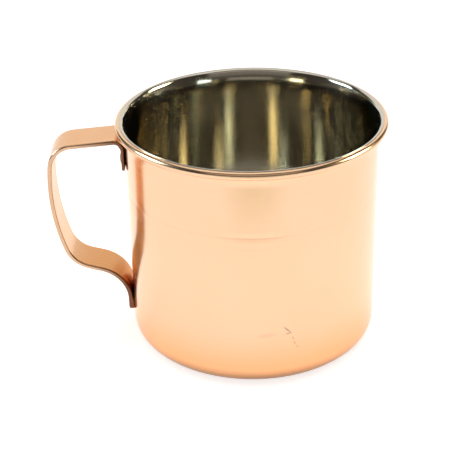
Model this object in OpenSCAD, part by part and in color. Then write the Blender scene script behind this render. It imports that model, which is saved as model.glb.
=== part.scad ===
// Copper mug: a drawn copper cup with a rolled rim, a thin nickel-steel lining that is
// turned over the rim, and a bent strap handle held by spot welds at its two tabs.
// Millimetres. +Z is up, the origin is on the cup's axis at the table, the handle is at -X.

/* [Cup] */
// Diameter over the rolled rim
rim_d = 90; // [72:0.5:120]
// Height from the table to the top of the rim
cup_h = 78.8; // [64:0.2:120]
// Thickness of the copper sheet
copper_t = 0.6; // [0.4:0.05:0.8]
// Thickness of the lining sheet
lining_t = 0.2; // [0.15:0.05:0.3]
// Outside radius of the corner between wall and base
corner_r = 5.8; // [3:0.2:9]
// Radius of the raised panel pressed into the base
panel_r = 33; // [20:0.5:34]
// Height the base panel is pressed up
panel_h = 0.8; // [0.4:0.1:2]
// Distance from the rim down to the drawing line round the wall
line_drop = 23.6; // [14:0.2:30]
// Depth of the drawing line
line_depth = 0.05; // [0.03:0.01:0.15]
// Width of the drawing line
line_w = 0.3; // [0.2:0.05:0.6]

/* [Rim] */
// Distance the rolled rim stands out past the wall
rim_overhang = 2.9; // [2.6:0.1:3.6]
// Diameter of the rolled copper tube at the rim
bead_d = 2.7; // [2.4:0.1:3.0]
// Angle above the horizontal where the lining's edge ends on the rim
lining_edge_angle = 90; // [40:1:90]
// Angle the wall has flared outward by where it enters the rim
flare_angle = 17.5; // [14:0.5:24]
// Angle below the horizontal where the rolled copper edge ends
curl_end_angle = 120; // [90:1:125]

/* [Handle] */
// Width of the handle strap
strap_w = 13.8; // [10:0.2:18]
// Thickness of the handle strap
strap_t = 1.5; // [1:0.1:2.2]
// Distance the handle stands out from the wall
handle_reach = 26; // [20:0.5:36]
// Distance from the rim down to the top of the handle
handle_drop = 5.4; // [5:0.1:9]
// Height of the handle's lower tip above the table
handle_tip_h = 8.5; // [7:0.1:14]
// Length of the straight tab under the upper bend
upper_tab = 8.4; // [6:0.2:12]
// Length of the straight tab at the lower tip
lower_tab = 4.5; // [4:0.1:8]
// Downward slope of the top run
top_slope = 5; // [0:0.5:10]
// Centreline radius of the bend at the upper tab
tab_bend_r = 2.4; // [1.6:0.1:4]
// Centreline radius of the outer top corner
corner_bend_r = 8.15; // [5:0.25:12]
// Centreline radius of the bend into the lower run
lower_bend_r = 10.5; // [6:0.25:14]
// Centreline radius of the sweep down onto the lower tab
sweep_r = 12.7; // [9:0.25:16]

/* [Welds] */
// Diameter of each weld spot
weld_d = 3.6; // [2.4:0.2:4]
// Distance between the two weld spots of a tab
weld_pitch = 7.2; // [5:0.2:8]
// Depth each weld spot reaches into the copper wall
weld_depth = 0.3; // [0.1:0.05:0.35]
// Depth of the dimple a weld spot leaves in the tab
dimple = 0.1; // [0.05:0.05:0.3]

/* [Hidden] */
$fn = 96;
far = 400;
flare_steps = 6;
roll_steps = 24;

// Each flatter stretch of the strap is laid this much nearer the inside of the bend it runs
// into, so that their faces cross instead of only touching
lap = 0.01;

// Cup
sheet = copper_t + lining_t;
body_r = rim_d / 2 - rim_overhang;
inner_r = body_r - sheet;
panel_slope = 1.2;

// Rim: the wall flares on one large arc, then rolls round the small one
bead_r = bead_d / 2;
lining_bead_r = bead_r + lining_t;
bead_x = rim_d / 2 - bead_r;
bead_z = cup_h - lining_bead_r;
flare_r = (bead_x - lining_bead_r * cos(flare_angle) - inner_r) / (1 - cos(flare_angle));
flare_x = inner_r + flare_r;
flare_z = bead_z - (flare_r - lining_bead_r) * sin(flare_angle);

// Handle headings, measured from the outward horizontal, clockwise turns going negative
top_heading = -top_slope;
side_heading = -83.4;
under_heading = -108.5;
low_heading = -164.3;
tab_heading = -90;

// Handle lengths that close the strap on the wall
tab_x = body_r + strap_t / 2;
reach_x = body_r + handle_reach - strap_t / 2;
run_z = cup_h - handle_drop - strap_t / 2;
run_x = tab_x + tab_bend_r * (1 - sin(top_heading));
run_base = (reach_x - run_x + corner_bend_r * (sin(side_heading) - sin(top_heading))) / cos(top_heading);
run_per_side = -(1 + sin(side_heading)) / cos(top_heading);
low_base = (tab_x - reach_x - lower_bend_r * (sin(under_heading) - sin(low_heading))
    + sweep_r * (1 + sin(low_heading))) / cos(low_heading);
low_per_side = (1 + sin(under_heading)) / cos(low_heading);
side_r = (handle_tip_h + lower_tab - run_z
    - run_base * sin(top_heading)
    - corner_bend_r * (cos(side_heading) - cos(top_heading))
    - lower_bend_r * (cos(low_heading) - cos(under_heading))
    - low_base * sin(low_heading)
    - sweep_r * cos(low_heading))
    / (run_per_side * sin(top_heading) + cos(under_heading) - cos(side_heading)
    + low_per_side * sin(low_heading));
run_len = run_base + run_per_side * side_r;
low_len = low_base + low_per_side * side_r;

// Points where one stretch of the strap ends and the next begins
upper_tab_top = [tab_x, run_z - tab_bend_r * cos(top_heading)];
upper_tab_end = upper_tab_top - [0, upper_tab];
run_start = turned(upper_tab_top, 90, top_heading, tab_bend_r);
run_end = moved(run_start, top_heading, run_len);
side_start = turned(run_end, top_heading, side_heading, corner_bend_r);
side_end = turned(side_start, side_heading, under_heading, side_r);
low_start = turned(side_end, under_heading, low_heading, lower_bend_r);
low_end = moved(low_start, low_heading, low_len);
lower_tab_top = turned(low_end, low_heading, tab_heading, -sweep_r);

// Welds
weld_angle = asin(weld_pitch / 2 / body_r);
upper_weld_z = upper_tab_end[1] + upper_tab / 2;
lower_weld_z = handle_tip_h + 0.3 + weld_d / 2;
weld_start_r = body_r - weld_depth;
weld_end_r = body_r + strap_t - dimple;
pad_depth = 1.2 + strap_t / 2;

// Point reached from p after a straight length l at heading h
function moved(p, h, l) = p + l * [cos(h), sin(h)];

// Centre of a turn that starts at p with heading h; r is positive clockwise, negative anticlockwise
function turn_centre(p, h, r) = p + r * [sin(h), -cos(h)];

// Point reached from p after turning from heading h0 to heading h1 at radius r
function turned(p, h0, h1, r) = turn_centre(p, h0, r) + r * [-sin(h1), cos(h1)];

// Length by which a stretch of radius r0 and its flatter neighbour of radius r1 run into each other
function lapped(r0, r1) = sqrt(2 * lap / (1 / r0 - 1 / r1));

// List l from its last entry to its first
function backward(l) = [for (i = [len(l) - 1:-1:0]) l[i]];

// Face of the cup's sheet at offset d outside the inner face, from the corner up the wall,
// out along the flare and, in steps, round the rim to roll_end degrees above the horizontal
function sheet_face(d, roll_end, steps = roll_steps) = concat(
    [[inner_r + d, corner_r]],
    [for (i = [0:flare_steps])
        let (a = 180 - flare_angle * i / flare_steps)
        [flare_x, flare_z] + (flare_r - d) * [cos(a), sin(a)]],
    [for (i = [1:1:steps])
        let (a = 180 - flare_angle + (roll_end - 180 + flare_angle) * i / steps)
        [bead_x, bead_z] + (lining_bead_r - d) * [cos(a), sin(a)]]
);

// Sector of a ring about centre c between two radii and two angles
module ring_sector(c, r_in, r_out, a0, a1) {
    low = min(a0, a1);
    high = max(a0, a1);
    steps = ceil((high - low) / 45);
    translate(c)
    intersection() {
        difference() {
            circle(r_out);
            circle(r_in);
        }
        polygon(concat([[0, 0]], [for (i = [0:steps]) let (a = low + (high - low) * i / steps)
            far * [cos(a), sin(a)]]));
    }
}

// Half section of a sheet of the cup, from offset d0 to offset d1 outside the inner face
module sheet_section(d0, d1, roll_end) {
    corner_x = body_r - corner_r;
    low = sheet - d1;
    high = sheet - d0;
    polygon([
        [0, panel_h + low], [panel_r, panel_h + low], [panel_r + panel_slope, low], [corner_x, low],
        [corner_x, high], [panel_r + panel_slope, high], [panel_r, panel_h + high], [0, panel_h + high]
    ]);
    ring_sector([corner_x, corner_r], corner_r - high, corner_r - low, -90, 0);
    polygon(concat(sheet_face(d1, roll_end), backward(sheet_face(d0, roll_end))));
}

// Straight stretch of the strap from p at heading h, longer by lap0 and lap1 at its ends and
// laid to the right (1) or left (-1) of its line there
module strap_straight(p, h, l, lap0, lap1, side0, side1) {
    along = [cos(h), sin(h)];
    right = [sin(h), -cos(h)];
    start = p - lap0 * along + lap * side0 * right;
    end = p + (l + lap1) * along + lap * side1 * right;
    half = strap_t / 2 * right;
    polygon([start + half, end + half, end - half, start - half]);
}

// Bent stretch of the strap from p, turning from heading h0 to h1 at centreline radius r,
// longer by lap0 and lap1 at its ends; inset draws it in towards its centre
module strap_bend(p, h0, h1, r, lap0, lap1, inset = 0) {
    side = sign(r);
    per_mm = 180 / PI / r;
    ring_sector(turn_centre(p, h0, r), abs(r) - inset - strap_t / 2, abs(r) - inset + strap_t / 2,
        h0 + 90 * side + lap0 * per_mm, h1 + 90 * side - lap1 * per_mm);
}

// Side view of the strap, with x outward from the cup's axis
module strap_outline() {
    tab_lap = lapped(tab_bend_r, far);
    corner_lap = lapped(corner_bend_r, far);
    side_top_lap = lapped(corner_bend_r, side_r);
    side_low_lap = lapped(lower_bend_r, side_r);
    low_lap = lapped(lower_bend_r, far);
    sweep_lap = lapped(sweep_r, far);
    strap_straight(upper_tab_end, 90, upper_tab, 0, tab_lap, 0, 1);
    strap_bend(upper_tab_top, 90, top_heading, tab_bend_r, tab_lap, tab_lap);
    strap_straight(run_start, top_heading, run_len, tab_lap, corner_lap, 1, 1);
    strap_bend(run_end, top_heading, side_heading, corner_bend_r, corner_lap, side_top_lap);
    strap_bend(side_start, side_heading, under_heading, side_r, side_top_lap, side_low_lap, lap);
    strap_bend(side_end, under_heading, low_heading, lower_bend_r, side_low_lap, low_lap);
    strap_straight(low_start, low_heading, low_len, low_lap, sweep_lap, 1, -1);
    strap_bend(low_end, low_heading, tab_heading, -sweep_r, sweep_lap, sweep_lap);
    strap_straight(lower_tab_top, tab_heading, lower_tab, sweep_lap, 0, -1, 0);
}

// Metal behind each tab, later cut to the curve of the wall
module pads_outline() {
    pad_end = body_r + strap_t / 2;
    translate([pad_end - pad_depth, upper_tab_end[1]]) square([pad_depth, upper_tab]);
    translate([pad_end - pad_depth, handle_tip_h]) square([pad_depth, lower_tab]);
}

// Space inside the cup's outer face, up the wall and out along the flare
module cup_space() {
    rotate_extrude()
    polygon(concat(
        [[0, 0], [body_r, 0]],
        sheet_face(sheet, 180 - flare_angle, 0),
        [[0, bead_z]]
    ));
}

// Pair of weld cylinders at height z, between radii r0 and r1
module weld_pair(z, r0, r1) {
    for (a = [-weld_angle, weld_angle])
        rotate([0, 0, 180 + a]) translate([r0, 0, z]) rotate([0, 90, 0])
            cylinder(h = r1 - r0, d = weld_d);
}

module copper_body() {
    color("#D98F66")
    difference() {
        rotate_extrude()
        difference() {
            sheet_section(lining_t, sheet, -curl_end_angle);
            translate([body_r, cup_h - line_drop])
                polygon([
                    [0.5, -line_w / 2], [0, -line_w / 2], [-line_depth, 0], [0, line_w / 2], [0.5, line_w / 2]
                ]);
        }
        weld_pair(upper_weld_z, weld_start_r, body_r + 1);
        weld_pair(lower_weld_z, weld_start_r, body_r + 1);
    }
}

module nickel_lining() {
    color("#8C8880")
    rotate_extrude()
    sheet_section(0, lining_t, lining_edge_angle);
}

module handle_strap() {
    color("#C9855F")
    difference() {
        rotate([90, 0, 180])
        linear_extrude(height = strap_w, center = true) {
            strap_outline();
            pads_outline();
        }
        cup_space();
        weld_pair(upper_weld_z, weld_start_r, body_r + 2 * strap_t);
        weld_pair(lower_weld_z, weld_start_r, body_r + 2 * strap_t);
    }
}

module upper_weld_spots() {
    color("#A9744F")
    weld_pair(upper_weld_z, weld_start_r, weld_end_r);
}

module lower_weld_spots() {
    color("#A9744F")
    weld_pair(lower_weld_z, weld_start_r, weld_end_r);
}

copper_body();
nickel_lining();
handle_strap();
upper_weld_spots();
lower_weld_spots();
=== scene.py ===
"""Looks of a copper mug: a drawn copper cup, its nickel lining and a welded strap handle.

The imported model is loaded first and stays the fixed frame. Every visible piece is then worked out
again as a smooth surface of the same size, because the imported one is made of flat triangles, and it
is dressed in the finish of the real metal. Lengths below are millimetres until a mesh is made.
"""

from __future__ import annotations

import logging
import math
from dataclasses import dataclass, field
from enum import Enum

import bpy
import numpy as np
from mathutils import Matrix, Vector

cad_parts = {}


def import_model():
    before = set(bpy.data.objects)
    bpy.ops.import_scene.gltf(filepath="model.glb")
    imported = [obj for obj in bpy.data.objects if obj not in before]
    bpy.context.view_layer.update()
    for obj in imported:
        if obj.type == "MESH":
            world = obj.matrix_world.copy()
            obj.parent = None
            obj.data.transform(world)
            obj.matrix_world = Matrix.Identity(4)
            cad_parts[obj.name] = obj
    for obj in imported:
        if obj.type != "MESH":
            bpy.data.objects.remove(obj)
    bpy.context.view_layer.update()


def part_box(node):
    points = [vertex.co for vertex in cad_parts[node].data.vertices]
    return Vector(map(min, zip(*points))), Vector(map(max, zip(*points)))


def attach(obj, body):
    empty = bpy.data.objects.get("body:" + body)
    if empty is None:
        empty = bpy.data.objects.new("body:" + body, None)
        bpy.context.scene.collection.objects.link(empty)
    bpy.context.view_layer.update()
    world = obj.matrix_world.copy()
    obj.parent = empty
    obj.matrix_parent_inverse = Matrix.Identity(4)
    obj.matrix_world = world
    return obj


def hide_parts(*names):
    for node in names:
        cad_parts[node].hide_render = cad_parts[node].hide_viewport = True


LOG = logging.getLogger("copper_mug")
MM = 0.001
BODY = "root"
Socket = bpy.types.NodeSocket
Tree = bpy.types.NodeTree
UV_NAME = "surface"
UV_MM = 100
SAME_POINT_MM = 1e-6


class Slot(Enum):
    """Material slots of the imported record."""

    COPPER = "copper"
    LINING = "lining"
    HANDLE = "handle_copper"
    WELD = "weld_copper"


class Node(Enum):
    """CAD nodes that the pieces stand for."""

    CUP = "copper_body"
    LINING = "nickel_lining"
    HANDLE = "handle_strap"
    UPPER_WELDS = "upper_weld_spots"
    LOWER_WELDS = "lower_weld_spots"


class Mark(Enum):
    """Point attributes that the strap's mesh carries for its painted edge reflection and tip shade."""

    EDGE = "edge"
    FROM_TIP = "from_tip"


# ---------------------------------------------------------------- colours and nodes


def linear(code: str) -> tuple[float, float, float, float]:
    """Turn an sRGB hex colour into linear values.

    Args:
        code: Six hex digits after a hash, such as "#D98F66".

    Returns:
        Red, green, blue and an alpha of 1, each from 0 to 1.
    """
    parts = [int(code[i:i + 2], 16) / 255 for i in (1, 3, 5)]
    lit = [c / 12.92 if c <= 0.04045 else ((c + 0.055) / 1.055) ** 2.4 for c in parts]
    return lit[0], lit[1], lit[2], 1.0


def add_node(
    tree: Tree,
    kind: str,
    settings: dict[str, object] | None = None,
    inputs: dict[str | int, object] | None = None,
) -> bpy.types.Node:
    """Add one shader node with its settings and links.

    Args:
        tree: The node tree that takes the node.
        kind: The node's type name.
        settings: Properties of the node itself.
        inputs: What goes into each input, a socket to link or a plain value.

    Returns:
        The new node.
    """
    node = tree.nodes.new(kind)
    for name, value in (settings or {}).items():
        setattr(node, name, value)
    for name, value in (inputs or {}).items():
        if isinstance(value, Socket):
            tree.links.new(value, node.inputs[name])
        else:
            node.inputs[name].default_value = value
    return node


def new_tree(name: str) -> tuple[bpy.types.Material, Tree]:
    """Make an empty node material.

    Args:
        name: The material's name.

    Returns:
        The material and its cleared node tree.
    """
    material = bpy.data.materials.new(name)
    material.use_nodes = True
    material.node_tree.nodes.clear()
    return material, material.node_tree


def ramp(
    tree: Tree,
    value: Socket,
    span: tuple[float, float],
    ends: tuple[float, float] = (0.0, 1.0),
    curve: str = "SMOOTHSTEP",
) -> Socket:
    """Map a span of values onto two ends, which hold beyond the span.

    Args:
        tree: The node tree that takes the node.
        value: The socket to map.
        span: First and last value of the span.
        ends: What those two values become.
        curve: The node's interpolation.

    Returns:
        The socket that holds the mapped value.
    """
    node = add_node(tree, "ShaderNodeMapRange", {"interpolation_type": curve}, {
        "Value": value, "From Min": span[0], "From Max": span[1], "To Min": ends[0], "To Max": ends[1]})
    return node.outputs["Result"]


def mixed(
    tree: Tree, share: Socket, first: object, second: object,
) -> Socket:
    """Mix two colours.

    Args:
        tree: The node tree that takes the node.
        share: Share of the second colour.
        first: Colour, or socket, where the share is 0.
        second: Colour, or socket, where the share is 1.

    Returns:
        The socket that holds the mixed colour.
    """
    node = add_node(tree, "ShaderNodeMix", {"data_type": "RGBA"}, {0: share, 6: first, 7: second})
    return node.outputs[2]


def clouded(
    tree: Tree, place: Socket, size_mm: float, colours: tuple[str, str],
) -> Socket:
    """Drift slowly between two tones.

    Args:
        tree: The node tree that takes the nodes.
        place: The Object coordinates.
        size_mm: Size of the clouds in millimetres.
        colours: The two tones as hex codes.

    Returns:
        The socket that holds the tone.
    """
    cloud = add_node(tree, "ShaderNodeTexNoise", None, {
        "Vector": place, "Scale": 1 / (size_mm * MM), "Detail": 2.0})
    return mixed(tree, cloud.outputs["Fac"], linear(colours[0]), linear(colours[1]))


def joined_metal(tree: Tree, inputs: dict[str | int, object]) -> None:
    """Add a metal's shader and join it to the material's output.

    Args:
        tree: The material's node tree.
        inputs: The shader's inputs besides Metallic.
    """
    shader = add_node(tree, "ShaderNodeBsdfPrincipled", None, {"Metallic": 1.0, **inputs})
    add_node(tree, "ShaderNodeOutputMaterial", None, {"Surface": shader.outputs["BSDF"]})


# ---------------------------------------------------------------- outlines and surfaces


def arc(
    centre: tuple[float, float], radius: float, start: float, end: float, step: float = 4.0,
) -> np.ndarray:
    """Points on a circle: centre plus radius times the cosine and sine of each angle.

    Args:
        centre: The circle's centre.
        radius: The circle's radius.
        start: First angle in degrees.
        end: Last angle in degrees.
        step: Largest turn between two points in degrees.

    Returns:
        An array of points, one row each.
    """
    count = max(2, int(math.ceil(abs(end - start) / step)) + 1)
    angles = np.radians(np.linspace(start, end, count))
    return np.array(centre) + radius * np.column_stack([np.cos(angles), np.sin(angles)])


def rounded(corners: list[tuple[float, float, float]], steps: int = 6) -> np.ndarray:
    """Round the corners of a broken line.

    Each corner with a radius is swapped for a quadratic curve that leaves the first side and
    joins the second one at that distance from the corner: (1-t)^2 a + 2t(1-t) corner + t^2 b.

    Args:
        corners: Each corner's two coordinates and its rounding distance.
        steps: Pieces in each rounding.

    Returns:
        The rounded line's points, one row each.
    """
    points = np.array([c[:2] for c in corners], float)
    t = np.linspace(0, 1, steps + 1)[:, None]
    out = []
    for i, (_, _, reach) in enumerate(corners):
        if reach <= 0 or i in (0, len(corners) - 1):
            out.append(points[i:i + 1])
            continue
        back = points[i - 1] - points[i]
        on = points[i + 1] - points[i]
        a = points[i] + reach * back / np.linalg.norm(back)
        b = points[i] + reach * on / np.linalg.norm(on)
        out.append((1 - t) ** 2 * a + 2 * t * (1 - t) * points[i] + t ** 2 * b)
    return np.concatenate(out)


def densified(line: np.ndarray, longest: float) -> np.ndarray:
    """Split the long sides of a line into equal parts.

    Each new point lies at an even share of its side, so the line's shape stays as it is.

    Args:
        line: The line's points, one row each.
        longest: Longest side to leave.

    Returns:
        The line with more points, without doubles.
    """
    sides = np.linalg.norm(np.diff(line, axis=0), axis=1)
    line = line[np.concatenate([[True], sides > SAME_POINT_MM])]
    sides = sides[sides > SAME_POINT_MM]
    shares = np.maximum(1, np.ceil(sides / longest)).astype(int)
    start = np.repeat(np.arange(len(sides)), shares)
    place = np.arange(shares.sum()) - np.repeat(np.cumsum(shares) - shares, shares)
    part = place / np.repeat(shares, shares)
    inner = line[start] + (line[start + 1] - line[start]) * part[:, None]
    return np.concatenate([inner, line[-1:]])


def lengths_along(line: np.ndarray) -> np.ndarray:
    """Distance along a line at each of its points, as the running sum of its sides."""
    return np.concatenate([[0.0], np.cumsum(np.linalg.norm(np.diff(line, axis=0), axis=1))])


def make_piece(
    name: str, points: np.ndarray, faces: list[np.ndarray], uvs: list[np.ndarray],
) -> bpy.types.Object:
    """Put a computed surface into a Blender object at the origin.

    Args:
        name: The piece's name.
        points: Vertices in millimetres, one row each.
        faces: Arrays of vertex numbers, one array for each number of corners.
        uvs: For each of those arrays, the UV of every corner.

    Returns:
        The linked object, smooth shaded.
    """
    mesh = bpy.data.meshes.new(name)
    corners = np.concatenate([f.ravel() for f in faces]).astype(np.int32)
    totals = np.concatenate([np.full(len(f), f.shape[1]) for f in faces]).astype(np.int32)
    mesh.vertices.add(len(points))
    mesh.vertices.foreach_set("co", (points * MM).astype(np.float32).ravel())
    mesh.loops.add(len(corners))
    mesh.loops.foreach_set("vertex_index", corners)
    mesh.polygons.add(len(totals))
    starts = np.concatenate([[0], np.cumsum(totals)[:-1]]).astype(np.int32)
    mesh.polygons.foreach_set("loop_start", starts)
    mesh.polygons.foreach_set("loop_total", totals)
    mesh.polygons.foreach_set("use_smooth", np.ones(len(totals), bool))
    layer = mesh.uv_layers.new(name=UV_NAME)
    flat_uvs = np.concatenate([u.reshape(-1, 2) for u in uvs])
    layer.data.foreach_set("uv", flat_uvs.astype(np.float32).ravel())
    mesh.update(calc_edges=True)
    mesh.validate()
    piece = bpy.data.objects.new(name, mesh)
    bpy.context.scene.collection.objects.link(piece)
    return piece


def revolved(profile: np.ndarray, turns: int) -> tuple[np.ndarray, list[np.ndarray], list[np.ndarray]]:
    """Turn a half section about the Z axis.

    A point at radius r and height z goes to (r cos a, r sin a, z) for every angle a. The section
    starts and ends on the axis, where all the angles meet in one point. It runs from the underside
    outwards and back inside, so that the faces look outwards.

    Args:
        profile: Radius and height of each point, the first and last on the axis.
        turns: Number of angles in a full turn.

    Returns:
        Points, faces and UVs, where U goes once round and V is the distance along the section.
    """
    angles = np.linspace(0, 2 * math.pi, turns, endpoint=False)
    ring = profile[1:-1]
    grid = np.stack([
        ring[None, :, 0] * np.cos(angles)[:, None],
        ring[None, :, 0] * np.sin(angles)[:, None],
        np.broadcast_to(ring[None, :, 1], (turns, len(ring))),
    ], axis=-1)
    poles = np.array([[0, 0, profile[0, 1]], [0, 0, profile[-1, 1]]])
    points = np.concatenate([grid.reshape(-1, 3), poles])
    rows = len(ring)
    i = np.arange(turns)
    j = np.arange(rows - 1)
    a = i[:, None] * rows + j[None, :]
    b = ((i + 1) % turns)[:, None] * rows + j[None, :]
    quads = np.stack([a, b, b + 1, a + 1], axis=-1).reshape(-1, 4)
    first, last = turns * rows, turns * rows + 1
    ones = np.ones(turns, int)
    start_fan = np.stack([ones * first, ((i + 1) % turns) * rows, i * rows], axis=-1)
    top = i * rows + rows - 1
    end_fan = np.stack([ones * last, top, np.roll(top, -1)], axis=-1)
    v = lengths_along(profile) / UV_MM
    u0 = np.broadcast_to((i / turns)[:, None], (turns, rows - 1))
    u1 = u0 + 1 / turns
    v0 = np.broadcast_to(v[1:-2][None, :], (turns, rows - 1))
    v1 = np.broadcast_to(v[2:-1][None, :], (turns, rows - 1))
    quad_uv = np.stack([u0, v0, u1, v0, u1, v1, u0, v1], axis=-1).reshape(-1, 4, 2)
    um = (i + 0.5) / turns
    left, right = u0[:, 0], u1[:, 0]
    start_uv = np.stack([um, ones * v[0], right, ones * v[1], left, ones * v[1]], axis=-1)
    end_uv = np.stack([um, ones * v[-1], left, ones * v[-2], right, ones * v[-2]], axis=-1)
    return points, [quads, start_fan, end_fan], [
        quad_uv, start_uv.reshape(-1, 3, 2), end_uv.reshape(-1, 3, 2)]


# ---------------------------------------------------------------- finishes


@dataclass(frozen=True)
class Brushing:
    """Fine lines that a wheel, an abrasive or a belt leaves in a metal.

    The pattern's size runs along each axis, in metres for Object coordinates and in UV units for
    UVs. The spread is how far the lines lower and raise the roughness.
    """

    size: tuple[float, float, float]
    roughness: float
    spread: tuple[float, float]
    strength: float
    depth_mm: float
    noise_span: tuple[float, float] = (0.3, 0.7)

    def inputs(self, tree: Tree, place: Socket) -> dict[str | int, object]:
        """Draw the lines as a noise stretched along the pattern's long sides.

        Args:
            tree: The material's node tree.
            place: The coordinates that the lines follow.

        Returns:
            The shader's Roughness and Normal inputs.
        """
        stretch = add_node(tree, "ShaderNodeMapping", None, {
            "Vector": place, "Scale": tuple(1 / size for size in self.size)})
        lines = add_node(tree, "ShaderNodeTexNoise", None, {
            "Vector": stretch.outputs["Vector"], "Scale": 1.0, "Detail": 3.0, "Roughness": 0.6})
        ends = (self.roughness + self.spread[0], self.roughness + self.spread[1])
        bump = add_node(tree, "ShaderNodeBump", None, {
            "Height": lines.outputs["Fac"], "Strength": self.strength, "Distance": self.depth_mm * MM})
        return {
            "Roughness": ramp(tree, lines.outputs["Fac"], self.noise_span, ends, "LINEAR"),
            "Normal": bump.outputs["Normal"],
        }


@dataclass(frozen=True)
class PolishedCopper:
    """Copper sheet, drawn, buffed round and round on a wheel, and lacquered.

    It gives the eye a warm mirror, a little soft, with faint lines round the cup from the buff and
    slow changes of tone. By height it is warmer low down, a painted shade and painted copper-tinted
    bounce light near the table; dark brown at the foot, a painted contact shadow; and a trace darker
    in the drawing line. One small scuff lies low on the front of the wall.
    """

    line_z_mm: float
    name: str = "polished_copper_lacquered"
    colours: tuple[str, str] = ("#EECBAA", "#EAC49F")
    # painted shade and painted copper-tinted bounce light: the wall turns warmer low down, near the table
    low_painted_light_colour: str = "#F4B784"
    # painted contact shadow: dark brown at the very foot of the wall
    foot_painted_shadow_colour: str = "#7E523A"
    line_colour: str = "#9A6A4C"
    scuff_colour: str = "#9C8474"
    cloud_mm: float = 28.0
    low_band_mm: tuple[float, float] = (3.0, 22.0)
    foot_band_mm: tuple[float, float] = (0.6, 6.6)
    foot_share: float = 0.95
    line_fade_mm: tuple[float, float] = (0.08, 0.3)
    line_share: float = 0.05
    wall_y_mm: float = -41.0
    stroke_depth_mm: float = 10.0
    stroke_fade: tuple[float, float] = (0.3, 1.1)
    brushing: Brushing = Brushing((90 * MM, 90 * MM, 0.35 * MM), 0.17, (-0.03, 0.05), 0.06, 0.02)
    scuff: tuple[tuple[float, ...], ...] = (
        (9.9, 21.0, -46.6, 2.4, 0.42, 0.62),
        (10.3, 19.6, 8.0, 1.5, 0.34, 0.6),
        (11.7, 17.6, -60.0, 0.8, 0.3, 0.5),
        (12.3, 15.6, -60.0, 1.0, 0.32, 0.5),
        (13.2, 14.0, -55.0, 0.8, 0.3, 0.42),
        (3.2, 19.6, 6.0, 4.2, 1.1, 0.12),
    )

    def stroke(
        self, tree: Tree, place: Socket, mark: tuple[float, ...],
    ) -> Socket:
        """Mask one scratch: an ellipse on the front of the wall that fades at its rim.

        Args:
            tree: The material's node tree.
            place: The Object coordinates.
            mark: Centre across and up, lean in degrees, half length and half width in
                millimetres, and strength.

        Returns:
            The socket that holds the mask.
        """
        across, up, lean, half_l, half_w, strength = mark
        centred = add_node(tree, "ShaderNodeMapping", {"vector_type": "TEXTURE"}, {
            "Vector": place,
            "Location": (across * MM, self.wall_y_mm * MM, up * MM),
            "Rotation": (0.0, math.radians(-lean), 0.0),
            "Scale": (half_l * MM, self.stroke_depth_mm * MM, half_w * MM)})
        reach = add_node(tree, "ShaderNodeVectorMath", {"operation": "LENGTH"}, {
            0: centred.outputs["Vector"]})
        return ramp(tree, reach.outputs["Value"], self.stroke_fade, (strength, 0.0))

    def scuffed(
        self, tree: Tree, place: Socket,
    ) -> Socket:
        """Mask the whole scuff, as the strongest of its strokes at each point.

        Args:
            tree: The material's node tree.
            place: The Object coordinates.

        Returns:
            The socket that holds the mask.
        """
        mask = self.stroke(tree, place, self.scuff[0])
        for mark in self.scuff[1:]:
            joined = add_node(tree, "ShaderNodeMath", {"operation": "MAXIMUM"}, {
                0: mask, 1: self.stroke(tree, place, mark)})
            mask = joined.outputs["Value"]
        return mask

    def material(self) -> bpy.types.Material:
        """Build the material.

        Returns:
            The finished node material.
        """
        material, tree = new_tree(self.name)
        place = add_node(tree, "ShaderNodeTexCoord").outputs["Object"]
        z = add_node(tree, "ShaderNodeSeparateXYZ", None, {"Vector": place}).outputs["Z"]
        low_span = tuple(edge * MM for edge in self.low_band_mm)
        foot_span = tuple(edge * MM for edge in self.foot_band_mm)
        line_span = tuple(edge * MM for edge in self.line_fade_mm)
        off = add_node(tree, "ShaderNodeMath", {"operation": "SUBTRACT"}, {0: z, 1: self.line_z_mm * MM})
        away = add_node(tree, "ShaderNodeMath", {"operation": "ABSOLUTE"}, {0: off.outputs["Value"]})
        tone = clouded(tree, place, self.cloud_mm, self.colours)
        # painted shade and bounce light: warmer tint low on the wall
        tone = mixed(tree, ramp(tree, z, low_span, (1.0, 0.0)), tone, linear(self.low_painted_light_colour))
        # painted contact shadow: dark brown at the foot
        foot = ramp(tree, z, foot_span, (self.foot_share, 0.0))
        tone = mixed(tree, foot, tone, linear(self.foot_painted_shadow_colour))
        line = ramp(tree, away.outputs["Value"], line_span, (self.line_share, 0.0))
        tone = mixed(tree, line, tone, linear(self.line_colour))
        tone = mixed(tree, self.scuffed(tree, place), tone, linear(self.scuff_colour))
        joined_metal(tree, {"Base Color": tone, **self.brushing.inputs(tree, place)})
        return material


@dataclass(frozen=True)
class BrushedNickel:
    """Thin nickel-plated steel, spun against an abrasive so that fine lines run round it.

    It gives the eye a grey, slightly warm metal whose reflections are drawn out up and down.
    """

    name: str = "brushed_nickel_plate"
    colour: str = "#C9C5BA"
    anisotropy: float = 0.75
    quarter_turn: float = 0.25
    brushing: Brushing = Brushing((120 * MM, 120 * MM, 0.25 * MM), 0.12, (-0.02, 0.02), 0.03, 0.01)

    def material(self) -> bpy.types.Material:
        """Build the material.

        Returns:
            The finished node material.
        """
        material, tree = new_tree(self.name)
        place = add_node(tree, "ShaderNodeTexCoord")
        around = add_node(tree, "ShaderNodeTangent", {"direction_type": "UV_MAP", "uv_map": UV_NAME})
        joined_metal(tree, {
            "Base Color": linear(self.colour), "Anisotropic": self.anisotropy,
            "Anisotropic Rotation": self.quarter_turn, "Tangent": around.outputs["Tangent"],
            **self.brushing.inputs(tree, place.outputs["Object"])})
        return material


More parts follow.
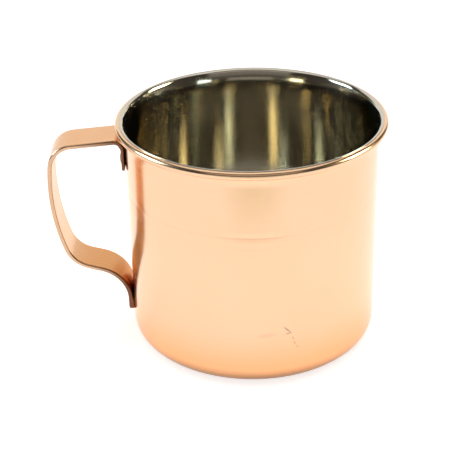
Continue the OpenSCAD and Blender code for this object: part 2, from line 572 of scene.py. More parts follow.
@dataclass(frozen=True)
class SatinCopper:
    """Copper strip, rolled, with its edges rounded over, and wiped lengthwise with a fine belt.

    It gives the eye a warm metal a little duller than the cup, with fine lines along the strip. The
    lower run is warmer, a painted reflection of warm light from the cup; the cut edges are paler, a
    painted reflection of the room they mirror; and both tips are darker, a painted shade where the
    strap meets the wall, further along the edges than on the faces.
    """

    name: str = "satin_copper_strip"
    colours: tuple[str, str] = ("#EEC098", "#E0AC7E")
    # painted reflection: the lower run turns warmer, standing in for warm light from the copper cup
    low_painted_light_colour: str = "#D3985F"
    # painted reflection: the rounded edges' paler tone as they mirror the room
    edge_painted_reflection_colour: str = "#D6B294"
    # painted shade: darker near both tips, where the strap meets the wall
    tip_painted_shade_colour: str = "#76513F"
    cloud_mm: float = 14.0
    low_band_mm: tuple[float, float] = (22.0, 36.0)
    face_shade_mm: tuple[float, float] = (6.0, 12.0)
    face_shade_share: float = 0.45
    edge_shade_mm: tuple[float, float] = (11.0, 26.0)
    brushing: Brushing = Brushing((0.18, 0.003, 1.0), 0.23, (-0.03, 0.06), 0.08, 0.02)

    def material(self) -> bpy.types.Material:
        """Build the material.

        Returns:
            The finished node material.
        """
        material, tree = new_tree(self.name)
        place = add_node(tree, "ShaderNodeTexCoord")
        split = add_node(tree, "ShaderNodeSeparateXYZ", None, {"Vector": place.outputs["Object"]})
        edge = add_node(tree, "ShaderNodeAttribute", {"attribute_name": Mark.EDGE.value}).outputs["Fac"]
        tip = add_node(tree, "ShaderNodeAttribute", {"attribute_name": Mark.FROM_TIP.value}).outputs["Fac"]
        low_span = tuple(height * MM for height in self.low_band_mm)
        tone = clouded(tree, place.outputs["Object"], self.cloud_mm, self.colours)
        # painted reflection of the cup's warm light on the lower run
        low = ramp(tree, split.outputs["Z"], low_span, (1.0, 0.0))
        tone = mixed(tree, low, tone, linear(self.low_painted_light_colour))
        # painted reflection on the rounded edges
        tone = mixed(tree, edge, tone, linear(self.edge_painted_reflection_colour))
        # painted shade at both tips, where the strap meets the wall, further along the edges than on the
        # faces
        tip_shading = add_node(tree, "ShaderNodeMix", {"data_type": "FLOAT"}, {
            0: edge,
            2: ramp(tree, tip, self.face_shade_mm, (self.face_shade_share, 0.0)),
            3: ramp(tree, tip, self.edge_shade_mm, (1.0, 0.0), "LINEAR")})
        tone = mixed(tree, tip_shading.outputs[0], tone, linear(self.tip_painted_shade_colour))
        joined_metal(tree, {"Base Color": tone, **self.brushing.inputs(tree, place.outputs["UV"])})
        return material


@dataclass(frozen=True)
class WeldedCopper:
    """Copper that a resistance weld has melted and let freeze under the electrode.

    It gives the eye a dull disc, browner than the strip, with a darker heat ring.
    """

    name: str = "spot_welded_copper"
    colour: str = "#C88F6A"
    ring_colour: str = "#8A5A40"
    roughness: float = 0.42
    ring_v: tuple[float, float] = (0.011, 0.017)
    grain_mm: float = 0.4
    grain_strength: float = 0.3
    grain_depth_mm: float = 0.03

    def material(self) -> bpy.types.Material:
        """Build the material.

        Returns:
            The finished node material.
        """
        material, tree = new_tree(self.name)
        place = add_node(tree, "ShaderNodeTexCoord")
        parts = add_node(tree, "ShaderNodeSeparateXYZ", None, {"Vector": place.outputs["UV"]})
        ring = ramp(tree, parts.outputs["Y"], self.ring_v)
        grain = add_node(tree, "ShaderNodeTexNoise", None, {
            "Vector": place.outputs["Object"], "Scale": 1 / (self.grain_mm * MM), "Detail": 3.0})
        bump = add_node(tree, "ShaderNodeBump", None, {
            "Height": grain.outputs["Fac"], "Strength": self.grain_strength,
            "Distance": self.grain_depth_mm * MM})
        joined_metal(tree, {
            "Base Color": mixed(tree, ring, linear(self.colour), linear(self.ring_colour)),
            "Roughness": self.roughness, "Normal": bump.outputs["Normal"]})
        return material


# ---------------------------------------------------------------- the mug's pieces


@dataclass(frozen=True)
class SheetShape:
    """Shape that the copper sheet and the lining share: base, corner, wall, flare and rim."""

    rim_d: float = 90.0
    height: float = 78.8
    copper_t: float = 0.6
    lining_t: float = 0.2
    corner_r: float = 5.8
    panel_r: float = 33.0
    panel_slope: float = 1.2
    panel_h: float = 0.8
    panel_round: float = 0.5
    rim_overhang: float = 2.9
    bead_d: float = 2.7
    flare_angle: float = 17.5

    @classmethod
    def from_frame(cls) -> SheetShape:
        """Take the rim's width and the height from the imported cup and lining."""
        low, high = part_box(Node.CUP.value)
        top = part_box(Node.LINING.value)[1].z
        return cls(rim_d=(high.y - low.y) / MM, height=top / MM)

    @property
    def sheet(self) -> float:
        """Thickness of copper and lining together."""
        return self.copper_t + self.lining_t

    @property
    def body_r(self) -> float:
        """Outer radius of the wall."""
        return self.rim_d / 2 - self.rim_overhang

    @property
    def inner_r(self) -> float:
        """Inner radius of the wall."""
        return self.body_r - self.sheet

    @property
    def roll_r(self) -> float:
        """Radius of the lining's face where it goes round the rim."""
        return self.bead_d / 2 + self.lining_t

    @property
    def bead(self) -> tuple[float, float]:
        """Centre of the rolled rim, as radius and height."""
        return self.rim_d / 2 - self.bead_d / 2, self.height - self.roll_r

    @property
    def flare_r(self) -> float:
        """Radius of the arc that turns the wall outwards under the rim."""
        lean = math.cos(math.radians(self.flare_angle))
        return (self.bead[0] - self.roll_r * lean - self.inner_r) / (1 - lean)

    @property
    def flare(self) -> tuple[float, float]:
        """Centre of that arc, as radius and height."""
        rise = math.sin(math.radians(self.flare_angle))
        return self.inner_r + self.flare_r, self.bead[1] - (self.flare_r - self.roll_r) * rise

    def base(self, depth: float) -> list[tuple[float, float, float]]:
        """Corners of the base, at a depth outside the inner face.

        Args:
            depth: Distance outside the cup's inner face.

        Returns:
            Radius, height and rounding of each corner, from the axis outwards.
        """
        low = self.sheet - depth
        edge = self.panel_r + self.panel_slope
        return [
            (0.0, self.panel_h + low, 0.0),
            (self.panel_r, self.panel_h + low, self.panel_round),
            (edge, low, self.panel_round),
            (self.body_r - self.corner_r, low, 0.0),
        ]

    def face(self, depth: float, roll_end: float, cuts: np.ndarray | None = None) -> np.ndarray:
        """Half section of one face of the sheet, from the axis out, up and round the rim.

        The base is a rounded broken line, the corner and the flare are arcs, the wall is straight,
        and the rim is an arc about the bead's centre whose radius shrinks with the depth.

        Args:
            depth: Distance outside the cup's inner face.
            roll_end: Angle above the horizontal where the face ends on the rim.
            cuts: Points to add on the wall, such as a groove.

        Returns:
            Radius and height of each point.
        """
        corner_x = self.body_r - self.corner_r
        low = self.sheet - depth
        turn = 180 - self.flare_angle
        parts = [
            rounded(self.base(depth)),
            arc((corner_x, self.corner_r), self.corner_r - low, -90, 0),
            *([] if cuts is None else [cuts]),
            arc(self.flare, self.flare_r - depth, 180, turn, 1.25),
            arc(self.bead, self.roll_r - depth, turn, roll_end, 5.0)[1:],
        ]
        return np.concatenate(parts)


@dataclass(frozen=True)
class CopperCup:
    """The drawn copper cup with its rolled rim and the drawing line round its wall."""

    shape: SheetShape
    line_drop: float = 23.6
    line_depth: float = 0.025
    line_half_w: float = 0.15
    curl_end: float = -120.0
    segments: int = 288
    longest: float = 2.0

    @property
    def line_z(self) -> float:
        """Height of the drawing line."""
        return self.shape.height - self.line_drop

    def line_groove(self) -> np.ndarray:
        """Points of the drawing line, a shallow rounded groove across the wall's face."""
        r = self.shape.body_r
        t = np.linspace(-1, 1, 9)
        return np.column_stack([
            r - self.line_depth * np.cos(t * math.pi / 2) ** 2,
            self.line_z + self.line_half_w * t,
        ])

    def build(self) -> bpy.types.Object:
        """Revolve the sheet's section into the cup.

        Returns:
            The cup as one closed surface.
        """
        outer = self.shape.face(self.shape.sheet, self.curl_end, self.line_groove())
        inner = self.shape.face(self.shape.lining_t, self.curl_end)
        profile = densified(np.concatenate([outer, inner[::-1]]), self.longest)
        return make_piece("copper_cup", *revolved(profile, self.segments))

    def dress(self, cup: bpy.types.Object) -> None:
        """Give the cup its finish and its place in the frame.

        Args:
            cup: The cup's object.
        """
        cup.data.materials.append(PolishedCopper(self.line_z).material())
        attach(cup, BODY)
        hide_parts(Node.CUP.value)


@dataclass(frozen=True)
class CupLining:
    """The thin nickel lining, pressed into the cup and turned over the top of the rim."""

    shape: SheetShape
    edge_angle: float = 90.0
    clearance: float = 0.02
    segments: int = 320
    longest: float = 2.0

    def build(self) -> bpy.types.Object:
        """Revolve the lining's section.

        Returns:
            The lining as one closed surface.
        """
        outer = self.shape.face(self.shape.lining_t - self.clearance, self.edge_angle)
        inner = self.shape.face(0.0, self.edge_angle)
        profile = densified(np.concatenate([outer, inner[::-1]]), self.longest)
        return make_piece("nickel_lining_sheet", *revolved(profile, self.segments))

    def dress(self, lining: bpy.types.Object) -> None:
        """Give the lining its finish and its place in the frame.

        Args:
            lining: The lining's object.
        """
        lining.data.materials.append(BrushedNickel().material())
        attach(lining, BODY)
        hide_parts(Node.LINING.value)


def unit(angle: float) -> np.ndarray:
    """Direction at an angle in degrees above the outward horizontal."""
    return np.array([math.cos(math.radians(angle)), math.sin(math.radians(angle))])


@dataclass
class StrapPath:
    """Centreline of the strap, drawn stretch by stretch in the plane of outward distance and height."""

    point: np.ndarray
    heading: float
    points: list[np.ndarray] = field(default_factory=list)
    headings: list[np.ndarray] = field(default_factory=list)

    def straight(self, length: float, step: float) -> None:
        """Go straight ahead: start plus distance times the heading's direction.

        Args:
            length: Length of the stretch.
            step: Largest distance between two points.
        """
        count = max(2, int(math.ceil(length / step)) + 1)
        along = np.linspace(0, length, count)[:-1]
        self.points.append(self.point + along[:, None] * unit(self.heading))
        self.headings.append(np.full(len(along), self.heading))
        self.point = self.point + length * unit(self.heading)

    def bend(self, heading: float, radius: float, step: float = 2.0) -> None:
        """Turn to a new heading on an arc about a centre square to the path.

        Args:
            heading: Heading at the end, in degrees.
            radius: Radius of the arc, positive clockwise and negative anticlockwise.
            step: Largest turn between two points in degrees.
        """
        centre = self.point - radius * unit(self.heading + 90)
        count = max(2, int(math.ceil(abs(heading - self.heading) / step)) + 1)
        turn = np.linspace(self.heading, heading, count)
        normals = np.column_stack([-np.sin(np.radians(turn)), np.cos(np.radians(turn))])
        self.points.append((centre + radius * normals)[:-1])
        self.headings.append(turn[:-1])
        self.point = centre + radius * normals[-1]
        self.heading = heading

    def finished(self) -> tuple[np.ndarray, np.ndarray]:
        """Return all points and headings, with the end point added."""
        return (
            np.concatenate([*self.points, self.point[None, :]]),
            np.concatenate([*self.headings, [self.heading]]),
        )


@dataclass(frozen=True)
class StrapHandle:
    """The bent copper strap, from its upper tab round to its lower tab."""

    shape: SheetShape
    width: float = 13.8
    thickness: float = 1.5
    reach: float = 26.0
    drop: float = 5.4
    tip_h: float = 8.5
    upper_tab: float = 8.4
    lower_tab: float = 4.5
    top_heading: float = -5.0
    side_heading: float = -83.4
    under_heading: float = -108.5
    low_heading: float = -164.3
    tab_heading: float = -90.0
    tab_bend_r: float = 2.4
    corner_bend_r: float = 8.15
    lower_bend_r: float = 10.5
    sweep_r: float = 12.7
    edge_r: float = 0.55
    tip_r: float = 2.2
    clearance: float = 0.01
    weld_d: float = 3.6
    weld_pitch: float = 7.2
    weld_lift: float = 0.3
    dimple: float = 0.12
    dimple_edge: float = 1.08
    dimple_slope: float = 0.22
    seat_fade: float = 2.0
    tab_step: float = 0.3
    corner_points: int = 8
    flat_points: int = 47
    tip_share: float = 0.98

    @classmethod
    def from_frame(cls, shape: SheetShape) -> StrapHandle:
        """Take the strap's width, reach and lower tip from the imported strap.

        Args:
            shape: The cup's shape, which carries the strap.

        Returns:
            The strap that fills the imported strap's box.
        """
        low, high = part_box(Node.HANDLE.value)
        return cls(
            shape,
            width=(high.y - low.y) / MM,
            reach=-low.x / MM - shape.body_r,
            drop=shape.height - high.z / MM,
            tip_h=low.z / MM,
        )

    @property
    def tab_x(self) -> float:
        """Outward distance of the tabs' centreline."""
        return self.shape.body_r + self.thickness / 2

    @property
    def upper_tab_end(self) -> float:
        """Height of the upper tab's lower tip."""
        run_z = self.shape.height - self.drop - self.thickness / 2
        return run_z - self.tab_bend_r * unit(self.top_heading)[0] - self.upper_tab

    @property
    def weld_heights(self) -> tuple[float, float]:
        """Heights of the upper and the lower pair of welds."""
        return self.upper_tab_end + self.upper_tab / 2, self.tip_h + self.weld_lift + self.weld_d / 2

    def centreline(self) -> tuple[np.ndarray, np.ndarray]:
        """Work out the strap's path so that it closes on the wall.

        The top run's length, the side's radius and the lower run's length follow from three
        conditions: the reach, the height of the lower tip, and a lower tab flat on the wall.

        Returns:
            Outward distance and height of each point, and the heading there.
        """
        top, side = self.top_heading, self.side_heading
        under, low = self.under_heading, self.low_heading
        c = {h: unit(h)[0] for h in (top, side, under, low)}
        s = {h: unit(h)[1] for h in c}
        reach_x = self.shape.body_r + self.reach - self.thickness / 2
        run_z = self.shape.height - self.drop - self.thickness / 2
        run_x = self.tab_x + self.tab_bend_r * (1 - s[top])
        run_base = (reach_x - run_x + self.corner_bend_r * (s[side] - s[top])) / c[top]
        run_per_side = -(1 + s[side]) / c[top]
        low_base = (
            self.tab_x - reach_x
            - self.lower_bend_r * (s[under] - s[low])
            + self.sweep_r * (1 + s[low])
        ) / c[low]
        low_per_side = (1 + s[under]) / c[low]
        side_r = (
            self.tip_h + self.lower_tab - run_z
            - run_base * s[top]
            - self.corner_bend_r * (c[side] - c[top])
            - self.lower_bend_r * (c[low] - c[under])
            - low_base * s[low]
            - self.sweep_r * c[low]
        ) / (run_per_side * s[top] + c[under] - c[side] + low_per_side * s[low])
        path = StrapPath(np.array([self.tab_x, self.upper_tab_end]), 90.0)
        path.straight(self.upper_tab, self.tab_step)
        path.bend(top, self.tab_bend_r, 4.0)
        path.straight(run_base + run_per_side * side_r, 1.0)
        path.bend(side, self.corner_bend_r)
        path.bend(under, side_r, 1.0)
        path.bend(low, self.lower_bend_r)
        path.straight(low_base + low_per_side * side_r, 1.0)
        path.bend(self.tab_heading, -self.sweep_r)
        path.straight(self.lower_tab, self.tab_step)
        return path.finished()

    def section(self) -> np.ndarray:
        """Outline of the strap's cross section, a rectangle with rounded edges.

        Returns:
            Distance across the strap and distance towards its inner side of each point, both
            from the strap's middle and in millimetres.
        """
        quarter = np.radians(np.linspace(0, 90, self.corner_points))
        flat = np.linspace(-1, 1, self.flat_points)
        half_w = self.width / 2 - self.edge_r
        half_t = self.thickness / 2 - self.edge_r
        corner = self.edge_r * np.column_stack([np.cos(quarter), np.sin(quarter)])
        inner = np.column_stack([-flat * half_w, np.full(self.flat_points, half_t + self.edge_r)])
        loop = [
            corner + [half_w, half_t],
            inner[1:-1],
            corner[::-1] * [-1, 1] + [-half_w, half_t],
            corner * [-1, -1] + [-half_w, -half_t],
            (inner * [-1, -1])[1:-1],
            corner[::-1] * [1, -1] + [half_w, -half_t],
        ]
        return np.concatenate(loop)

    def build(self) -> bpy.types.Object:
        """Carry the cross section along the centreline.

        A point of the section at (a, b) goes to the path's point plus b times the inward normal,
        and a across. Near the tips the section shrinks by r - sqrt(r^2 - (r - d)^2) at a distance
        d from the end, which rounds them. Along the tabs the inner face is pushed out to the
        wall's cylinder, and each weld leaves a smooth round dimple in the outer face.

        Returns:
            The strap as one closed surface.
        """
        line, heading = self.centreline()
        along = lengths_along(line)
        ends = np.array([0.0, 0.05, 0.13, 0.24, 0.38, 0.55])
        stations = np.unique(np.concatenate([ends, along[-1] - ends, along]))
        keep = np.concatenate([[True], np.diff(stations) > 0.02])
        stations = stations[keep]
        stations[-1] = along[-1]
        x = np.interp(stations, along, line[:, 0])
        z = np.interp(stations, along, line[:, 1])
        turn = np.interp(stations, along, heading)
        to_tip = np.minimum(stations, along[-1] - stations)
        loop = self.section()

        def inset(radius: float) -> np.ndarray:
            """Amount that a round end of this radius takes off at each station."""
            near = np.clip(radius - to_tip, 0, radius)
            return radius - np.sqrt(np.maximum(radius ** 2 - near ** 2, 0))

        width_share = 1 - inset(self.tip_r) / (self.width / 2) * self.tip_share
        thick_share = 1 - inset(self.edge_r) / (self.thickness / 2) * self.tip_share
        across = loop[None, :, 0] * width_share[:, None]
        deep = loop[None, :, 1] * thick_share[:, None]
        normal = np.column_stack([np.sin(np.radians(turn)), -np.cos(np.radians(turn))])
        out = x[:, None] + deep * normal[:, None, 0]
        up = z[:, None] + deep * normal[:, None, 1]
        out, up = self.seated(out, up, across, deep, stations, along[-1])
        grid = np.stack([-out, across, up], axis=-1)
        strap = make_piece("handle_strap_bent", *self.tube(grid, stations, loop))
        self.mark_edges(strap, across, width_share, stations)
        return strap

    def mark_edges(
        self, strap: bpy.types.Object, across: np.ndarray, width_share: np.ndarray, stations: np.ndarray
    ) -> None:
        """Store where the cut edges and the ends are, for the painted edge reflection and the tip shade.

        The edge mark is 1 beyond the flat part of the strap's width and 0 inside it. The tip mark
        is the distance in millimetres to the nearer tip.

        Args:
            strap: The strap's object.
            across: Distance of each point from the strap's middle.
            width_share: Share of the full width at each station.
            stations: Distance along the strap of each cross section.
        """
        flat = (self.width / 2 - self.edge_r) * width_share[:, None]
        edge = np.clip((np.abs(across) - flat) / (self.edge_r * 0.6), 0, 1)
        # distance to the nearer tip, which spreads the painted shade at the tips
        tip_shading = np.broadcast_to(np.minimum(stations, stations[-1] - stations)[:, None], across.shape)
        for kind, values, tips in ((Mark.EDGE, edge, (1.0, 1.0)), (Mark.FROM_TIP, tip_shading, (0.0, 0.0))):
            mark = strap.data.attributes.new(kind.value, "FLOAT", "POINT")
            mark.data.foreach_set("value", np.concatenate([values.ravel(), tips]).astype(np.float32))

    def seated(
        self,
        out: np.ndarray,
        up: np.ndarray,
        across: np.ndarray,
        deep: np.ndarray,
        stations: np.ndarray,
        total: float,
    ) -> tuple[np.ndarray, np.ndarray]:
        """Seat the tabs on the wall and press the weld dimples into the tabs alone.

        Args:
            out: Outward distance of each point.
            up: Height of each point.
            across: Distance of each point from the strap's middle.
            deep: Offset of each point towards the strap's inner side.
            stations: Distance along the strap of each cross section.
            total: The strap's whole length.

        Returns:
            The new outward distances and heights.
        """
        half = self.thickness / 2
        wall = np.sqrt(self.shape.body_r ** 2 - across ** 2) + self.clearance
        fade = self.seat_fade
        on_tab = np.maximum(
            np.clip((self.upper_tab + fade / 2 - stations) / fade, 0, 1),
            np.clip((stations - (total - self.lower_tab - fade / 2)) / fade, 0, 1),
        )
        blend = (on_tab * on_tab * (3 - 2 * on_tab))[:, None]
        wall_side = (half + deep) / self.thickness
        sink = np.clip(wall_side, 0, 1) * (self.shape.body_r + self.clearance - wall) * blend
        out = out - sink
        angle = math.asin(self.weld_pitch / 2 / self.shape.body_r)
        offset = math.sin(angle) * self.shape.body_r
        face = np.clip(-deep / half, 0, 1) ** 4
        for height in self.weld_heights:
            for side in (-offset, offset):
                gap = np.hypot(across - side, up - height) / (self.weld_d / 2)
                press = np.clip((self.dimple_edge - gap) / self.dimple_slope, 0, 1)
                out = out - self.dimple * face * blend * press * press * (3 - 2 * press)
        return out, up

    def tube(
        self, grid: np.ndarray, stations: np.ndarray, loop: np.ndarray
    ) -> tuple[np.ndarray, list[np.ndarray], list[np.ndarray]]:
        """Join a row of closed cross sections into a tube with closed ends.

        Args:
            grid: Points by station and by place in the loop.
            stations: Distance along the strap of each cross section.
            loop: The cross section, for the distance round it.

        Returns:
            Points, faces and UVs, where U is the distance along and V the distance round.
        """
        rows, cols = grid.shape[:2]
        i = np.arange(rows - 1)[:, None]
        j = np.arange(cols)[None, :]
        k = (j + 1) % cols
        here, beyond = i * cols, (i + 1) * cols
        quads = np.stack(np.broadcast_arrays(here + j, here + k, beyond + k, beyond + j), axis=-1)
        tips = np.stack([grid[0].mean(axis=0), grid[-1].mean(axis=0)])
        points = np.concatenate([grid.reshape(-1, 3), tips])
        col = np.arange(cols)
        nxt = (col + 1) % cols
        last = (rows - 1) * cols
        first_fan = np.stack([np.full(cols, rows * cols), nxt, col], axis=-1)
        last_fan = np.stack([np.full(cols, rows * cols + 1), last + col, last + nxt], axis=-1)
        round_v = lengths_along(np.concatenate([loop, loop[:1]])) / UV_MM
        u = stations / UV_MM
        u0 = np.broadcast_to(u[:-1, None], (rows - 1, cols))
        u1 = np.broadcast_to(u[1:, None], (rows - 1, cols))
        v0 = np.broadcast_to(round_v[None, :-1], (rows - 1, cols))
        v1 = np.broadcast_to(round_v[None, 1:], (rows - 1, cols))
        quad_uv = np.stack([u0, v0, u0, v1, u1, v1, u1, v0], axis=-1).reshape(-1, 4, 2)
        vm = (round_v[:-1] + round_v[1:]) / 2
        start = np.full(cols, u[0])
        end = np.full(cols, u[-1])
        first_uv = np.stack([start, vm, start, round_v[1:], start, round_v[:-1]], axis=-1)
        last_uv = np.stack([end, vm, end, round_v[:-1], end, round_v[1:]], axis=-1)
        return points, [quads.reshape(-1, 4), first_fan, last_fan], [
            quad_uv, first_uv.reshape(-1, 3, 2), last_uv.reshape(-1, 3, 2)]

    def dress(self, strap: bpy.types.Object) -> None:
        """Give the strap its finish and its place in the frame.

        Args:
            strap: The strap's object.
        """
        strap.data.materials.append(SatinCopper().material())
        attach(strap, BODY)
        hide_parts(Node.HANDLE.value)


@dataclass(frozen=True)
class WeldSpots:
    """Two spot welds that hold one tab of the strap."""

    handle: StrapHandle
    name: str
    node: Node
    height: float
    rings: int = 14
    segments: int = 64

    def build(self) -> bpy.types.Object:
        """Make two shallow lens-shaped discs in the tab's dimples.

        Each disc is a surface of revolution about an outward axis: its face is a flat dome with
        one low ring near its edge, and its back lies inside the tab.

        Returns:
            Both discs as one object.
        """
        radius = self.handle.weld_d / 2
        face_r = self.handle.shape.body_r + self.handle.thickness - self.handle.dimple
        share = np.linspace(0, 1, self.rings)
        dome = 0.05 * (1 - share ** 2) + 0.04 * np.exp(-((share - 0.82) / 0.09) ** 2) + 0.01
        back = np.array([[radius, -0.25], [0.0, -0.25]])
        profile = np.concatenate([np.column_stack([share * radius, dome]), back])[::-1]
        points, faces, uvs = revolved(profile, self.segments)
        angle = math.asin(self.handle.weld_pitch / 2 / self.handle.shape.body_r)
        offset = math.sin(angle) * self.handle.shape.body_r
        all_points, all_faces, all_uvs = [], [[] for _ in faces], [[] for _ in faces]
        for count, side in enumerate((-offset, offset)):
            all_points.append(np.column_stack([
                -(face_r + points[:, 2]), side - points[:, 1], self.height + points[:, 0]]))
            for k, f in enumerate(faces):
                all_faces[k].append(f + count * len(points))
                all_uvs[k].append(uvs[k])
        return make_piece(
            self.name,
            np.concatenate(all_points),
            [np.concatenate(f) for f in all_faces],
            [np.concatenate(u) for u in all_uvs],
        )

    def dress(self, spots: bpy.types.Object, material: bpy.types.Material) -> None:
        """Give the welds their finish and their place in the frame.

        Args:
            spots: The pair's object.
            material: The finish that all welds share.
        """
        spots.data.materials.append(material)
        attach(spots, BODY)
        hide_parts(self.node.value)

# ---------------------------------------------------------------- studio


@dataclass(frozen=True)
class Softbox:
    """One rectangular lamp: its centre and size in metres, its radiance, where 1 is white, and colour.

    A seen lamp is mirrored by polished metal. One that lights the table lights matt surfaces.
    """

    name: str
    place: tuple[float, float, float]
    size: tuple[float, float]
    radiance: float
    colour: tuple[float, float, float]
    seen: bool = True
    lights_table: bool = True
    aim: tuple[float, float, float] = (0.0, 0.0, 0.04)

    def hang(self) -> None:
        """Hang the lamp so that it faces its aim."""
        light = bpy.data.lights.new(self.name, "AREA")
        light.shape = "RECTANGLE"
        light.size, light.size_y = self.size
        light.energy = self.radiance * self.size[0] * self.size[1] * math.pi
        light.color = self.colour
        lamp = bpy.data.objects.new(self.name, light)
        lamp.location = self.place
        facing = Vector(self.aim) - Vector(self.place)
        lamp.rotation_euler = facing.to_track_quat("-Z", "Y").to_euler()
        lamp.visible_glossy = self.seen
        lamp.visible_diffuse = self.lights_table
        bpy.context.scene.collection.objects.link(lamp)


LAMPS = (
    Softbox("overhead_softbox", (0.0, 0.25, 1.2), (1.3, 1.1), 1.0, (1.0, 0.97, 0.93)),
    Softbox("back_panel", (0.0, 1.6, 0.7), (2.6, 1.5), 1.0, (1.0, 0.95, 0.88), lights_table=False),
    Softbox("front_panel", (0.0, -1.2, 1.35), (2.2, 0.8), 0.45, (1.0, 0.88, 0.78), lights_table=False),
    Softbox("low_front", (0.0, -1.5, 0.62), (2.4, 0.65), 0.2, (1.0, 0.9, 0.78), lights_table=False),
    Softbox("left_window", (-1.5, 0.15, 0.76), (0.6, 0.5), 22.0, (0.82, 0.98, 1.0), lights_table=False),
    Softbox("right_window", (1.5, 0.15, 0.76), (0.6, 0.5), 33.0, (1.0, 0.9, 0.6), lights_table=False),
    Softbox("fill", (0.0, 0.0, 1.6), (2.4, 2.4), 0.68, (1.0, 0.99, 0.97), seen=False),
)


def flat_panel(
    name: str, centre: tuple[float, float, float], half: tuple[float, float],
) -> bpy.types.Object:
    """Lay a level rectangle.

    Args:
        name: The object's name.
        centre: Its centre in metres.
        half: Half its width and half its length in metres.

    Returns:
        The linked object.
    """
    corners = [
        (centre[0] + x * half[0], centre[1] + y * half[1], centre[2])
        for x, y in ((-1, -1), (1, -1), (1, 1), (-1, 1))]
    mesh = bpy.data.meshes.new(name)
    mesh.from_pydata(corners, [], [(0, 1, 2, 3)])
    panel = bpy.data.objects.new(name, mesh)
    bpy.context.scene.collection.objects.link(panel)
    return panel


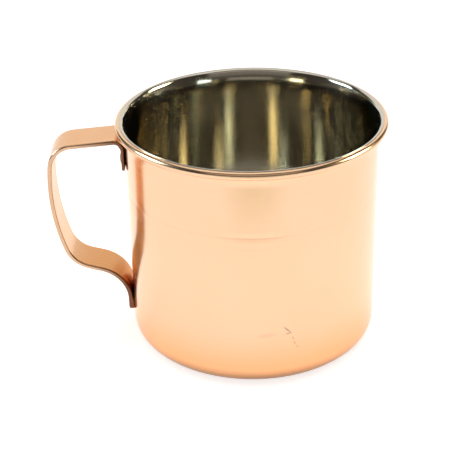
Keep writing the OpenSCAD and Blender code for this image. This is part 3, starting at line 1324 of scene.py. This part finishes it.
@dataclass(frozen=True)
class Studio:
    """A pale glowing table, a hidden painted-shadow card and seven lamps in a dim room, and the camera.

    The camera sees the room as pale. Five of the lamps and the card are there for what polished
    metal mirrors, and leave the table alone. The card is a painted shadow: a dim tan glow before the
    mug that polished metal mirrors as a shadow on the table.
    """

    floor_half: float = 3.0
    floor_tone: float = 0.8
    floor_roughness: float = 0.6
    floor_glow: float = 0.77
    card_half: tuple[float, float] = (0.16, 0.16)
    card_centre: tuple[float, float, float] = (0.0, -0.29, 0.001)
    card_fade: tuple[float, float] = (0.35, 1.0)
    # painted shadow: a dim warm tone, darker than the table's glow, seen only in polished metal
    shadow_card_colour: tuple[float, ...] = (0.95, 0.85, 0.62, 1.0)
    room_colour: tuple[float, ...] = (0.06, 0.052, 0.042, 1.0)
    backdrop: tuple[float, ...] = (1.0, 1.0, 1.0, 1.0)
    camera_distance: float = 0.42358
    camera_elevation: float = 27.88
    camera_roll: float = -1.277
    camera_side: float = -0.00944
    aim_height: float = 0.03797
    lens: float = 98.409
    bounces: int = 16

    def floor(self) -> None:
        """Lay a large pale table top at height 0."""
        table = flat_panel("pale_table", (0.0, 0.0, 0.0), (self.floor_half, self.floor_half))
        material, tree = new_tree("white_acrylic_table")
        shader = add_node(tree, "ShaderNodeBsdfPrincipled", None, {
            "Base Color": (self.floor_tone, self.floor_tone, self.floor_tone, 1.0),
            "Roughness": self.floor_roughness, "Specular IOR Level": 0.0,
            "Emission Color": (1.0, 1.0, 1.0, 1.0), "Emission Strength": self.floor_glow})
        add_node(tree, "ShaderNodeOutputMaterial", None, {"Surface": shader.outputs["BSDF"]})
        table.data.materials.append(material)

    def painted_shadow_card(self) -> None:
        """Lay a painted shadow before the mug, a dim tan card with faded edges that only metal mirrors."""
        card = flat_panel("painted_shadow_card", self.card_centre, self.card_half)
        card.visible_camera = False
        card.visible_diffuse = False
        card.visible_shadow = False
        material, tree = new_tree("painted_shadow_card_finish")
        place = add_node(tree, "ShaderNodeTexCoord")
        centred = add_node(tree, "ShaderNodeMapping", {"vector_type": "TEXTURE"}, {
            "Vector": place.outputs["Object"], "Location": self.card_centre,
            "Scale": (*self.card_half, 1.0)})
        reach = add_node(tree, "ShaderNodeVectorMath", {"operation": "LENGTH"}, {
            0: centred.outputs["Vector"]})
        # painted shadow: the card glows dim tan and fades out at its edge
        glow = add_node(tree, "ShaderNodeEmission", None, {"Color": self.shadow_card_colour, "Strength": 1.0})
        clear = add_node(tree, "ShaderNodeBsdfTransparent")
        both = add_node(tree, "ShaderNodeMixShader", None, {
            0: ramp(tree, reach.outputs["Value"], self.card_fade),
            1: glow.outputs["Emission"], 2: clear.outputs["BSDF"]})
        add_node(tree, "ShaderNodeOutputMaterial", None, {"Surface": both.outputs["Shader"]})
        card.data.materials.append(material)

    def world(self) -> None:
        """Surround the table with a dim room that the camera itself sees as pale."""
        world = bpy.data.worlds.new("studio_room")
        world.use_nodes = True
        tree = world.node_tree
        tree.nodes.clear()
        rays = add_node(tree, "ShaderNodeLightPath")
        tone = mixed(tree, rays.outputs["Is Camera Ray"], self.room_colour, self.backdrop)
        back = add_node(tree, "ShaderNodeBackground", None, {"Color": tone, "Strength": 1.0})
        add_node(tree, "ShaderNodeOutputWorld", None, {"Surface": back.outputs["Background"]})
        bpy.context.scene.world = world

    def camera(self) -> None:
        """Stand the camera in front of the mug, above it, with a long lens and a slight roll."""
        rise = math.radians(self.camera_elevation)
        roll = math.radians(self.camera_roll)
        back = Vector((0.0, -math.cos(rise), math.sin(rise)))
        right = Vector((1.0, 0.0, 0.0))
        up = Vector((0.0, math.sin(rise), math.cos(rise)))
        across = math.cos(roll) * right + math.sin(roll) * up
        over = math.cos(roll) * up - math.sin(roll) * right
        place = Vector((self.camera_side, 0.0, self.aim_height)) + self.camera_distance * back
        data = bpy.data.cameras.new("view")
        data.sensor_width = 36.0
        data.lens = self.lens
        data.clip_start = 0.01
        camera = bpy.data.objects.new("view", data)
        turn = Matrix((across, over, back)).transposed().to_4x4()
        camera.matrix_world = Matrix.Translation(place) @ turn
        bpy.context.scene.collection.objects.link(camera)
        bpy.context.scene.camera = camera

    def set_up(self) -> None:
        """Build the whole studio and let light bounce far enough inside the cup."""
        self.camera()
        self.floor()
        self.painted_shadow_card()
        for lamp in LAMPS:
            lamp.hang()
        self.world()
        scene = bpy.context.scene
        scene.view_settings.view_transform = "Standard"
        scene.cycles.max_bounces = self.bounces
        scene.cycles.glossy_bounces = self.bounces
        scene.cycles.blur_glossy = 0.0


def main() -> None:
    """Build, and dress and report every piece."""
    logging.basicConfig(level=logging.INFO, format="%(name)s: %(message)s")
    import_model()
    Studio().set_up()
    shape = SheetShape.from_frame()
    handle = StrapHandle.from_frame(shape)
    upper, lower = handle.weld_heights
    for part in (CopperCup(shape), CupLining(shape), handle):
        piece = part.build()
        part.dress(piece)
        LOG.info("%s has %d faces", piece.name, len(piece.data.polygons))
    weld_metal = WeldedCopper().material()
    for spots in (
        WeldSpots(handle, "upper_weld_pair", Node.UPPER_WELDS, upper),
        WeldSpots(handle, "lower_weld_pair", Node.LOWER_WELDS, lower),
    ):
        piece = spots.build()
        spots.dress(piece, weld_metal)
        LOG.info("%s has %d faces", piece.name, len(piece.data.polygons))
    bpy.context.view_layer.update()


if __name__ == "__main__":
    main()
